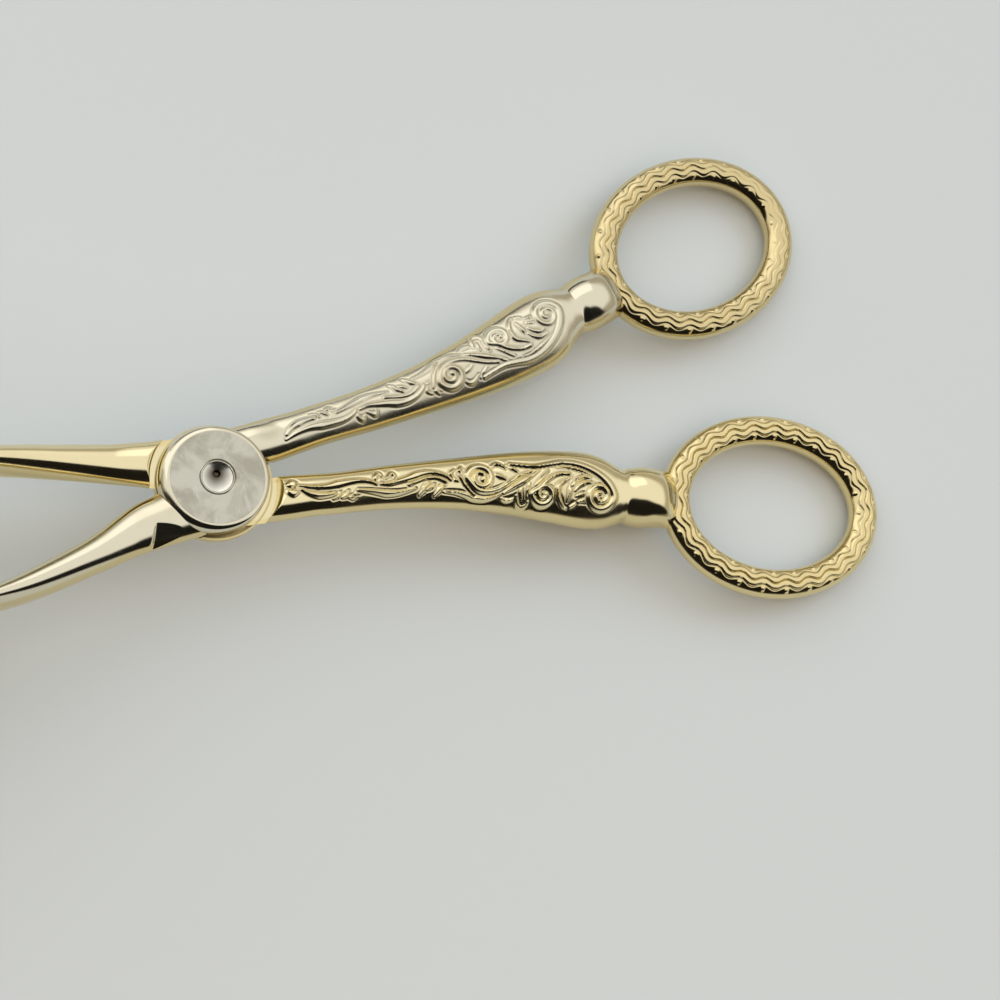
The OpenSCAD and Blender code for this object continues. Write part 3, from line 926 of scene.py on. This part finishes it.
def shankFace(x, y, s, zShare, half, side):
    h = shank
    start = h["facetFrom"][1] + h["facetLean"] * (x - h["facetFrom"][0])
    plane = half - h["facetSlope"] * np.maximum(y - start, 0)
    end = h["facetEnd"] + h["facetEndLean"] * (y - start)
    facet = np.maximum(zShare * half - plane, 0) * ease(end + h["facetEndRun"], end, x)
    return -facet * (zShare > 0), 0 * x, 0 * x


def tangPlate():
    t = tang
    half = t["width"] / 2
    end = t["start"] + t["length"] - half
    outline = [(t["start"], -half), *arcPoints((end, 0), half, -90, 90, t["endSteps"]), (t["start"], half)]
    bm = bmesh.new()
    face = bm.faces.new([bm.verts.new((x, t["inner"], z)) for x, z in outline])
    thicken(bm, [face], t["thick"], False)
    outer = t["inner"] + t["thick"] - t["near"]
    rim = [e for e in bm.edges if min(v.co.y for v in e.verts) > outer]
    roundEdges(bm, rim, t["edge"], t["edgeSteps"])
    return bm


for side in sides:
    place = armPlace[side] @ jawTurn
    bm = castBar(shank["roots"][side] + shank["stations"], shank, shankFace, side)
    makeCastPiece(bm, "Shank", side, place)
    makeCastPiece(tangPlate(), "Tang", side, place, pieceFinish["sharpAngleFlat"])
print("shanks and tangs made")


# Jaw: a pierced plate, flat on the tang and then bent in towards its front edge
jaw = {
    "outline": [  # share of the bent length, half height
        (0, 7), (0.1, 8.8), (0.27, 16.7), (0.42, 21.05), (0.56, 21.95),
        (0.75, 20.15), (0.9, 15.2), (0.98, 7.9), (1, 0),
    ],
    "outlineSteps": 6,
    "rootStart": 41.2,
    "bendStart": 54.0,
    "bendLength": 50.0,
    "inner": 5.1,
    "thick": 1.6,
    "bendRadius": 255.0,
    "edge": 0.4,
    "edgeSteps": 3,
    "edgeAngle": 1.2,  # radians; what is sharper is rounded
    "slots": (-2, -1, 0, 1, 2),
    "slotStart": 70.0,
    "slotPitch": 4.9,
    "slotSpread": 3.65,
    "slotLength": 22.0,
    "slotShorter": 0.11,
    "slotHalf": 1.5,
    "slotSteps": 10,
    "tall": 22.0,
    "cell": 2.5,  # the plate is cut this finely before it is bent
    "near": 0.01,
}


def slotLoop(i):
    j = jaw
    start = Vector((j["slotStart"], j["slotPitch"] * i))
    run = Vector((j["slotLength"] * (1 - j["slotShorter"] * i * i), j["slotSpread"] * i))
    lean = math.degrees(math.atan2(run.y, run.x))
    return (arcPoints(start + run, j["slotHalf"], lean - 90, lean + 90, j["slotSteps"])
            + arcPoints(start, j["slotHalf"], lean + 90, lean + 270, j["slotSteps"]))


def jawPlate():
    j = jaw
    upper = [(j["bendStart"] + a * j["bendLength"], h) for a, h in j["outline"]]
    upper = smoothLine(upper, j["outlineSteps"])
    upper = [(j["rootStart"], j["outline"][0][1]), *map(tuple, upper)]
    loops = [upper + [(x, -z) for x, z in upper[-2::-1]]]
    loops += [slotLoop(i) for i in j["slots"]]
    bm = bmesh.new()
    edges = []
    for loop in loops:
        verts = [bm.verts.new((x, 0, z)) for x, z in loop]
        edges += [bm.edges.new(pair) for pair in zip(verts, verts[1:] + verts[:1])]
    bmesh.ops.triangle_fill(bm, use_beauty=True, edges=edges, normal=(0, -1, 0))
    bmesh.ops.recalc_face_normals(bm, faces=bm.faces)
    thicken(bm, bm.faces[:], j["thick"], True)
    bmesh.ops.recalc_face_normals(bm, faces=bm.faces)
    rim = [e for e in bm.edges if len(e.link_faces) == 2 and e.calc_face_angle(0) > j["edgeAngle"]
           and abs(e.verts[0].co.y - e.verts[1].co.y) < j["near"]]
    roundEdges(bm, rim, j["edge"], j["edgeSteps"])
    low, high = j["rootStart"], j["bendStart"] + j["bendLength"]
    cuts = [((x, 0, 0), (1, 0, 0)) for x in np.arange(low, high, j["cell"])[1:]]
    cuts += [((0, 0, z), (0, 0, 1)) for z in np.arange(-j["tall"], j["tall"], j["cell"])[1:]]
    for middle, way in cuts:
        bmesh.ops.bisect_plane(bm, geom=bm.verts[:] + bm.edges[:] + bm.faces[:], dist=1e-4,
                               plane_co=middle, plane_no=way)
    for vert in bm.verts:
        bent = max(vert.co.x - j["bendStart"], 0)
        fall = j["bendRadius"] - math.sqrt(j["bendRadius"] ** 2 - bent**2)
        vert.co.y += j["inner"] - fall
    return bm


# Jaw rivets: domed outside the tang, flush inside the jaw
jawRivets = {
    "at": (43.85, 50.15),
    "radius": 1.5,
    "head": 2.7,
    "dome": 1.4,
    "domeSteps": 10,
    "steps": 40,
}


def jawRivetPair():
    v = jawRivets
    inner = jaw["inner"]
    outer = tang["inner"] + tang["thick"]
    ball = (v["head"] ** 2 + v["dome"] ** 2) / (2 * v["dome"])
    turn = math.degrees(math.asin((ball - v["dome"]) / ball))
    points = [(0, inner), (v["radius"], inner), (v["radius"], outer), (v["head"], outer)]
    domed = arcPoints((0, 0), ball, turn, 90, v["domeSteps"])[1:]
    points += [(r, outer + v["dome"] - ball + y) for r, y in domed]
    whole = bmesh.new()
    for x in v["at"]:
        one = spinProfile([(r, y, 0) for r, y in points], v["steps"], (0, 1, 0))
        bmesh.ops.translate(one, verts=one.verts, vec=(x, 0, 0))
        mesh = bpy.data.meshes.new("jawRivet")
        one.to_mesh(mesh)
        one.free()
        whole.from_mesh(mesh)
        bpy.data.meshes.remove(mesh)
    return whole


for side in sides:
    place = armPlace[side] @ jawTurn
    flat = pieceFinish["sharpAngleFlat"]
    makePiece(jawPlate(), side + "Jaw", side, side + "_jaw", plates[side], place, flat)
    makePiece(jawRivetPair(), side + "JawRivets", side, side + "_jaw_rivets", brass, place,
              flat)
print("jaws and their rivets made")


# Pale table, soft daylight from above and behind, a dark side where the viewer stands
table = {
    "size": 3.0,
    "color": (0.58, 0.645, 0.675, 1),
    "warm": (0.575, 0.635, 0.66, 1),
    "warmFrom": (0.35, 0.7),
    "cloud": {"scale": 4, "detail": 2, "rough": 0.5},
    "rough": 0.75,
}
sky = {
    "zenith": (0.95, 0.93, 0.89, 1),
    "horizon": (0.46, 0.42, 0.34, 1),
    "horizonEnds": (0.28, 0.52),
    "dark": (0.012, 0.011, 0.010, 1),
    "darkWay": (-0.45, -0.89, 0.0),
    "darkEnds": (0.19, 0.33),
    "darkHorizonEnds": (-0.02, 0.14),
    "wall": (0.05, 0.045, 0.04, 1),  # below the window
    "wallWay": (-0.03, 0.97, 0.20),
    "wallEnds": (0.93, 0.97),
    "wallTop": (0.27, 0.22),
}
# Only the first two show in the metal; the others light the table
lamps = [
    {"from": (-0.20, 1.10, 0.80), "size": (1.7, 1.4), "power": 2.8, "color": (1, 1, 1), "mirrored": True},
    {"from": (-0.95, 1.15, 0.40), "size": (0.6, 0.6), "power": 0.5, "color": (1, 1, 1), "mirrored": True},
    {"from": (-0.20, 1.10, 0.80), "size": (1.7, 1.4), "power": 5.2, "color": (0.80, 1.0, 1.28),
     "mirrored": False},
    {"from": (3.50, 0.85, 2.40), "size": (2.4, 2.4), "power": 44.0, "color": (0.84, 1.0, 1.24),
     "mirrored": False},
    {"from": (-0.25, -0.75, 1.40), "size": (2.0, 2.0), "power": 11.5, "color": (1.2, 0.88, 0.6),
     "mirrored": False},
]


def makeTable():
    t = table
    bm = bmesh.new()
    bmesh.ops.create_grid(bm, x_segments=2, y_segments=2, size=t["size"])
    mesh = bpy.data.meshes.new("table")
    bm.to_mesh(mesh)
    bm.free()
    floor = bpy.data.objects.new("table", mesh)
    bpy.context.scene.collection.objects.link(floor)
    material, shader, place = newMaterial("paleTable")
    color = noise(place, **t["cloud"]).fit(*t["warmFrom"]).mixColor(t["color"], t["warm"])
    feed(shader, "Base Color", color)
    feed(shader, "Roughness", t["rough"])
    mesh.materials.append(material)


def makeSky():
    world = bpy.data.worlds.new("sky")
    bpy.context.scene.world = world
    world.use_nodes = True
    tree = world.node_tree
    way = Sock(tree, tree.nodes.new("ShaderNodeTexCoord").outputs["Generated"])
    height = way.node("ShaderNodeSeparateXYZ", {}, {0: way}, 2)

    def towards(name):
        aim = Vector(sky[name]).normalized()
        return way.node("ShaderNodeVectorMath", {"operation": "DOT_PRODUCT"}, {0: way, 1: aim}, 1)

    bright = height.fit(*sky["horizonEnds"]).mixColor(sky["horizon"], sky["zenith"])
    wall = towards("wallWay").fit(*sky["wallEnds"]) * height.fit(*sky["wallTop"])
    bright = wall.mixColor(bright, sky["wall"])
    dark = height.fit(*sky["darkHorizonEnds"]).mixColor(sky["horizon"], sky["dark"])
    color = towards("darkWay").fit(*sky["darkEnds"]).mixColor(bright, dark)
    tree.links.new(color.link, tree.nodes["Background"].inputs["Color"])


def makeLamp(w):
    data = bpy.data.lights.new("lamp", "AREA")
    data.shape = "RECTANGLE"
    data.size, data.size_y = w["size"]
    data.energy = w["power"]
    data.color = w["color"]
    lamp = bpy.data.objects.new("lamp", data)
    bpy.context.scene.collection.objects.link(lamp)
    lamp.visible_glossy = w["mirrored"]
    lamp.location = w["from"]
    lamp.rotation_euler = (-Vector(w["from"])).to_track_quat("-Z", "Y").to_euler()


makeTable()
makeSky()
for lamp in lamps:
    makeLamp(lamp)
bpy.context.scene.view_settings.view_transform = "Standard"
print("table and light made")
